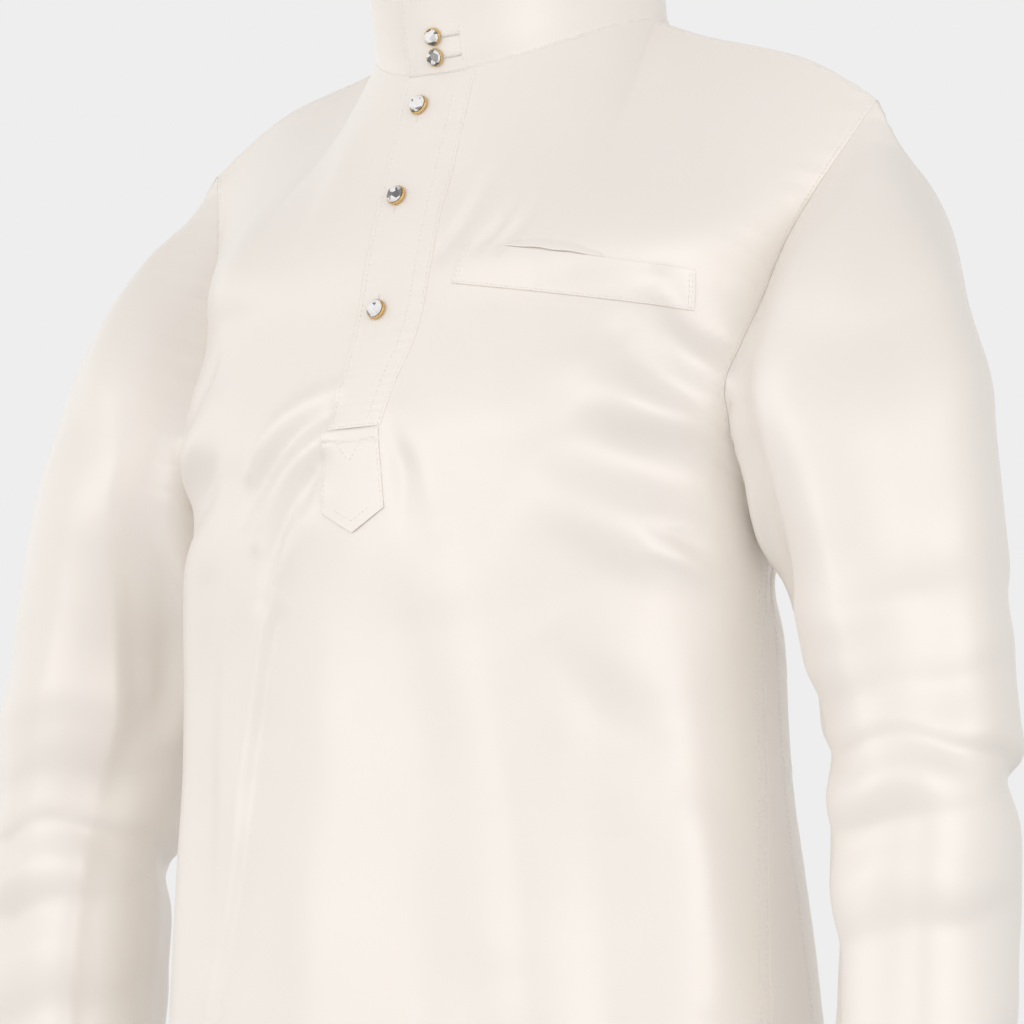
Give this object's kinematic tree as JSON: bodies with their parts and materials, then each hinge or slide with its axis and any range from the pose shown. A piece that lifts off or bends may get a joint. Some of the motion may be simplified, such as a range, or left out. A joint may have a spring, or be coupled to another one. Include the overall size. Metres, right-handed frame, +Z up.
{
  "type": "baju melayu",
  "caption": "Worn satin baju melayu: long-sleeved tunic with stand collar, studded placket, pointed tab, chest welt pocket and side gores, with its plain matching trousers",
  "frame": {"origin": "midway between the two points where the shoulder seams meet the neck, where the wearer's neck and shoulders hold the tunic up", "axes": "+X to the wearer's left, -Y to the front, +Z up"},
  "size_m": [0.6792, 0.2596, 1.486],
  "materials": {
    "satin": "ivory satin with a soft sheen",
    "gold": "polished gold-coloured metal",
    "crystal": "clear faceted stone"
  },
  "bodies": {
    "root": {"front_panel": "satin", "back_panel": "satin", "side_gore_left": "satin", "side_gore_right": "satin", "sleeve_left": "satin", "sleeve_right": "satin", "collar_band": "satin", "placket_band": "satin", "placket_tab": "satin", "pocket_welt": "satin", "trouser_leg_left": "satin", "trouser_leg_right": "satin", "trouser_waistband": "satin", "stud_setting_1": "gold", "stud_setting_2": "gold", "stud_setting_3": "gold", "stud_setting_4": "gold", "stud_setting_5": "gold", "stud_crystal_1": "crystal", "stud_crystal_2": "crystal", "stud_crystal_3": "crystal", "stud_crystal_4": "crystal", "stud_crystal_5": "crystal"}
  },
  "joints": []
}
